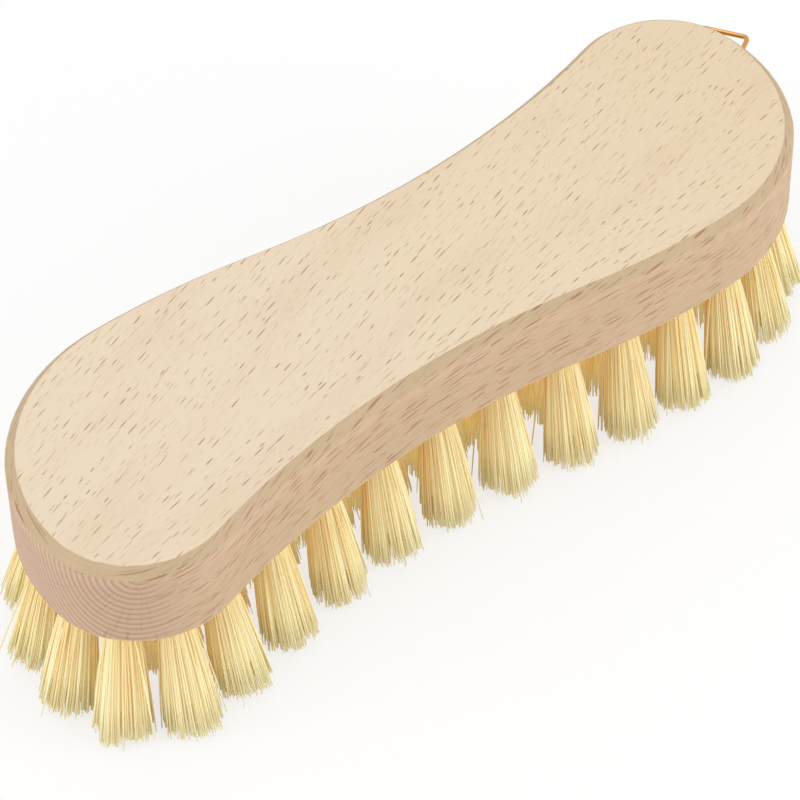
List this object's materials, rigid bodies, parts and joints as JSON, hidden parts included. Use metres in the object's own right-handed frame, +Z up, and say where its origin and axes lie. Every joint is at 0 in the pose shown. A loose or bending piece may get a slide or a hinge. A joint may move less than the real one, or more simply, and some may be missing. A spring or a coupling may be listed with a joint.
{
  "type": "scrubbing brush",
  "caption": "Scrubbing brush: an S-shaped wooden block drilled and filled with tufts of stiff plant fibre, with a wire hanging loop at one end.",
  "frame": {"origin": "on the surface that the trimmed bristle tips stand on, under the middle of the block", "axes": "+Z up from the bristle tips to the block's flat top, X along the block with the hanging loop at +X"},
  "size_m": [0.2354, 0.0771, 0.0505],
  "materials": {
    "beech": "bare sanded beech, fine brown flecks",
    "fibre": "pale straw-coloured stiff plant fibre",
    "copper_wire": "drawn copper-coloured wire",
    "anchor_wire": "plain flat wire"
  },
  "bodies": {
    "root": {"block": "beech", "hanging_loop": "copper_wire", "tuft_anchors": "anchor_wire", "outer_tuft_01": "fibre", "outer_tuft_02": "fibre", "outer_tuft_03": "fibre", "outer_tuft_04": "fibre", "outer_tuft_05": "fibre", "outer_tuft_06": "fibre", "outer_tuft_07": "fibre", "outer_tuft_08": "fibre", "outer_tuft_09": "fibre", "outer_tuft_10": "fibre", "outer_tuft_11": "fibre", "outer_tuft_12": "fibre", "outer_tuft_13": "fibre", "outer_tuft_14": "fibre", "outer_tuft_15": "fibre", "outer_tuft_16": "fibre", "outer_tuft_17": "fibre", "outer_tuft_18": "fibre", "outer_tuft_19": "fibre", "outer_tuft_20": "fibre", "outer_tuft_21": "fibre", "outer_tuft_22": "fibre", "outer_tuft_23": "fibre", "outer_tuft_24": "fibre", "outer_tuft_25": "fibre", "outer_tuft_26": "fibre", "outer_tuft_27": "fibre", "outer_tuft_28": "fibre", "outer_tuft_29": "fibre", "outer_tuft_30": "fibre", "outer_tuft_31": "fibre", "outer_tuft_32": "fibre", "inner_tuft_01": "fibre", "inner_tuft_02": "fibre", "inner_tuft_03": "fibre", "inner_tuft_04": "fibre", "inner_tuft_05": "fibre", "inner_tuft_06": "fibre", "inner_tuft_07": "fibre", "inner_tuft_08": "fibre", "inner_tuft_09": "fibre", "inner_tuft_10": "fibre", "inner_tuft_11": "fibre", "inner_tuft_12": "fibre", "inner_tuft_13": "fibre", "inner_tuft_14": "fibre", "inner_tuft_15": "fibre", "inner_tuft_16": "fibre", "inner_tuft_17": "fibre", "inner_tuft_18": "fibre", "inner_tuft_19": "fibre", "inner_tuft_20": "fibre", "inner_tuft_21": "fibre", "inner_tuft_22": "fibre"}
  },
  "joints": []
}
